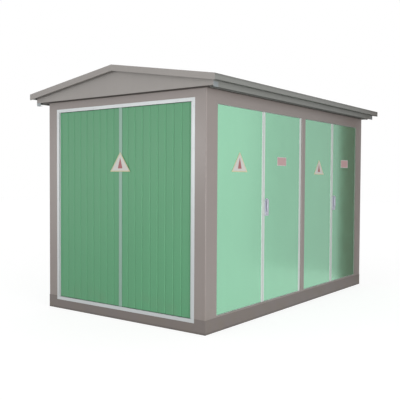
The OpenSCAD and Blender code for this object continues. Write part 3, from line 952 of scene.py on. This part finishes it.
class SUBSTATION_OT_eaves(SubstationOperator):
    """Add the caps on the ends of the eave beams and the brackets under the left one"""

    bl_idname = "substation.eaves"
    bl_label = "Eaves"

    def execute(self, context):
        sizes = context.scene.substation_fittings
        thick = sizes.cap_thickness
        reach = sizes.cap_length
        radius = sizes.rivet_radius
        places = []
        caps = []
        for side, name in ((1, "eave_beam_right"), (-1, "eave_beam_left")):
            low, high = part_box(name)
            outer = high.x if side > 0 else low.x
            inner = low.x if side > 0 else high.x
            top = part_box("roof_cover")[0].z
            for end, gable in ((-1, "gable_panel_front"), (1, "gable_panel_rear")):
                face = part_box(gable)[(end + 1) // 2].y
                near, far = sorted((face, face - end * reach))
                left, right = sorted((outer, outer + side * thick))
                caps.append(block(
                    "cap", (left, near, low.z - thick), (right, far, top), thick / 3,
                ))
                outward = RIGHT if side > 0 else LEFT
                along = face - end * reach * RIVET_SHARE
                for z in (low.z + CAP_MARGIN, top - CAP_MARGIN):
                    places.append(((outer + side * thick, along, z), outward))
                if side < 0:
                    left, right = sorted((outer, inner))
                    near, far = sorted((face, face - end * thick))
                    bottom = low.z - sizes.bracket_drop
                    caps.append(block(
                        "bracket", (left, near, bottom), (right, far, low.z + BRACKET_LAP),
                        thick / 3,
                    ))
                    near, far = sorted((face, face - end * reach * BRACKET_SHARE))
                    caps.append(block(
                        "bracket", (left, near, bottom), (right, far, bottom + thick),
                        thick / 3,
                    ))
        dress(joined("eave_caps", caps), "zinc", "enclosure")
        dress(spread("eave_rivets", rivet(radius), places), "zinc", "enclosure")
        return {"FINISHED"}


# Lamps: name, place, target, size, and power as a share of the key light's
LAMPS = (
    ("key", (9.0, -4.6, 1.5), (0.8, -0.4, 1.3), (5.0, 2.8), 1.0),
    ("strip", (-3.5, -8.0, 2.3), (-0.4, -1.8, 1.6), (4.5, 0.8), 0.19),
    ("fill", (2.5, -7.5, 0.9), (0.5, -1.8, 0.7), (2.5, 1.2), 0.15),
)

# Cards that show in the gloss: name, place, size, colour and glow
BLACK = (0.0, 0.0, 0.0)
CARDS = (
    ("dark_card", (1.35, 2.05, 1.45), (0.3, 2.9), (0.16, 0.05, 0.035), 0.0),
    ("grey_card", (2.25, 2.6, 1.45), (1.9, 2.9), BLACK, 0.67),
    ("white_card", (-9.1, -8.2, 1.35), (5.8, 2.7), BLACK, 2.6),
)

FLOOR_SIZE = 60
FLOOR_GREY = (0.26, 0.26, 0.26)
MIRRORED_SHARE = 0.88


class SUBSTATION_OT_stage(SubstationOperator):
    """Add the floor, the pale surroundings, the lamps and the camera"""

    bl_idname = "substation.stage"
    bl_label = "Stage"

    def execute(self, context):
        settings = context.scene.substation_stage
        self.floor(settings)
        self.surroundings(context, settings)
        for name, place, target, size, share in LAMPS:
            self.lamp(name, place, target, size, settings.key * share)
        for values in CARDS:
            self.card(*values)
        self.camera(context, settings)
        context.scene.view_settings.view_transform = "Standard"
        return {"FINISHED"}

    def floor(self, settings):
        """A pale floor that glows where it is seen and keeps the object's shadow."""
        deselect()
        bpy.ops.mesh.primitive_plane_add(size=FLOOR_SIZE)
        piece = settle(bpy.context.object, "stage_floor")
        finish = Finish("stage_floor")
        cloud = finish.noise(0.5, 2.0)
        finish.feed(
            base_color=finish.toned(FLOOR_GREY, 1 + (cloud - 0.5) * 0.01),
            roughness=0.9, emission_color=(1.0, 1.0, 1.0),
        )
        rays = finish.tree.nodes.new("ShaderNodeLightPath")
        seen = Socket(finish, rays.outputs["Is Camera Ray"])
        mirrored = Socket(finish, rays.outputs["Is Glossy Ray"])
        passed = Socket(finish, rays.outputs["Is Transmission Ray"])
        glow = (seen + (mirrored + passed) * MIRRORED_SHARE).clamp() * settings.floor_glow
        finish.feed(emission_strength=glow)
        piece.data.materials.append(finish.material)

    def surroundings(self, context, settings):
        """White where it is seen or mirrored, and a weaker light elsewhere."""
        world = bpy.data.worlds.new("surroundings")
        world.use_nodes = True
        context.scene.world = world
        tree = world.node_tree
        light = tree.nodes["Background"]
        light.inputs["Strength"].default_value = settings.sky
        white = tree.nodes.new("ShaderNodeBackground")
        white.inputs["Color"].default_value = (1, 1, 1, 1)
        light.inputs["Color"].default_value = (1, 1, 1, 1)
        rays = tree.nodes.new("ShaderNodeLightPath")
        seen = tree.nodes.new("ShaderNodeMath")
        seen.operation = "MAXIMUM"
        choice = tree.nodes.new("ShaderNodeMixShader")
        tree.links.new(rays.outputs["Is Camera Ray"], seen.inputs[0])
        tree.links.new(rays.outputs["Is Glossy Ray"], seen.inputs[1])
        tree.links.new(seen.outputs[0], choice.inputs[0])
        tree.links.new(light.outputs[0], choice.inputs[1])
        tree.links.new(white.outputs[0], choice.inputs[2])
        tree.links.new(choice.outputs[0], tree.nodes["World Output"].inputs["Surface"])

    def lamp(self, name, place, target, size, power):
        """A large rectangular lamp that faces its target."""
        deselect()
        bpy.ops.object.light_add(type="AREA", location=place)
        lamp = bpy.context.object
        lamp.name = name
        lamp.data.shape = "RECTANGLE"
        lamp.data.size, lamp.data.size_y = size
        lamp.data.energy = power
        aim = Vector(target) - Vector(place)
        lamp.rotation_euler = aim.to_track_quat("-Z", "Y").to_euler()

    def card(self, name, place, size, colour, glow):
        """An upright card that shows only in the gloss of the paint and the metal."""
        deselect()
        bpy.ops.mesh.primitive_plane_add(size=1, location=place, rotation=(math.pi / 2, 0, 0))
        card = bpy.context.object
        card.scale = (*size, 1)
        settle(card, name)
        finish = Finish(name)
        finish.feed(
            base_color=colour, roughness=1.0, emission_color=(1.0, 1.0, 1.0),
            emission_strength=glow,
        )
        card.data.materials.append(finish.material)
        card.visible_camera = False
        card.visible_diffuse = False
        card.visible_shadow = False
        card.visible_transmission = False

    def camera(self, context, settings):
        """The camera at the photo's place."""
        pitch = settings.pitch
        yaw = settings.yaw
        ahead = Vector((
            math.cos(pitch) * math.cos(yaw), math.cos(pitch) * math.sin(yaw), math.sin(pitch),
        ))
        level = ahead.cross(UP).normalized()
        above = level.cross(ahead)
        turn = settings.roll
        right = level * math.cos(turn) + above * math.sin(turn)
        top = above * math.cos(turn) - level * math.sin(turn)
        deselect()
        bpy.ops.object.camera_add()
        camera = bpy.context.object
        camera.name = "camera"
        camera.data.lens = settings.lens
        turned = Matrix((right, top, -ahead)).transposed().to_4x4()
        camera.matrix_world = Matrix.Translation(settings.eye) @ turned
        context.scene.camera = camera


STEPS = (
    SUBSTATION_OT_stage,
    SUBSTATION_OT_steelwork,
    SUBSTATION_OT_panels,
    SUBSTATION_OT_plates,
    SUBSTATION_OT_seals,
    SUBSTATION_OT_fasteners,
    SUBSTATION_OT_eaves,
)


class SUBSTATION_PT_panel(bpy.types.Panel):
    """Lists the steps that finish the substation"""

    bl_idname = "SUBSTATION_PT_panel"
    bl_label = "Compact substation"
    bl_space_type = "VIEW_3D"
    bl_region_type = "UI"
    bl_category = "Substation"

    def draw(self, context):
        for step in STEPS:
            self.layout.operator(step.bl_idname)


CLASSES = (SubstationPaint, SubstationFittings, SubstationStage, *STEPS, SUBSTATION_PT_panel)


def register():
    for item in CLASSES:
        bpy.utils.register_class(item)
    scene = bpy.types.Scene
    scene.substation_paint = bpy.props.PointerProperty(type=SubstationPaint)
    scene.substation_fittings = bpy.props.PointerProperty(type=SubstationFittings)
    scene.substation_stage = bpy.props.PointerProperty(type=SubstationStage)


def unregister():
    del bpy.types.Scene.substation_stage
    del bpy.types.Scene.substation_fittings
    del bpy.types.Scene.substation_paint
    for item in reversed(CLASSES):
        bpy.utils.unregister_class(item)


def main():
    register()
    bpy.ops.substation.stage()
    bpy.ops.substation.steelwork()
    bpy.ops.substation.panels()
    bpy.ops.substation.plates()
    bpy.ops.substation.seals()
    bpy.ops.substation.fasteners()
    bpy.ops.substation.eaves()


if __name__ == "__main__":
    main()
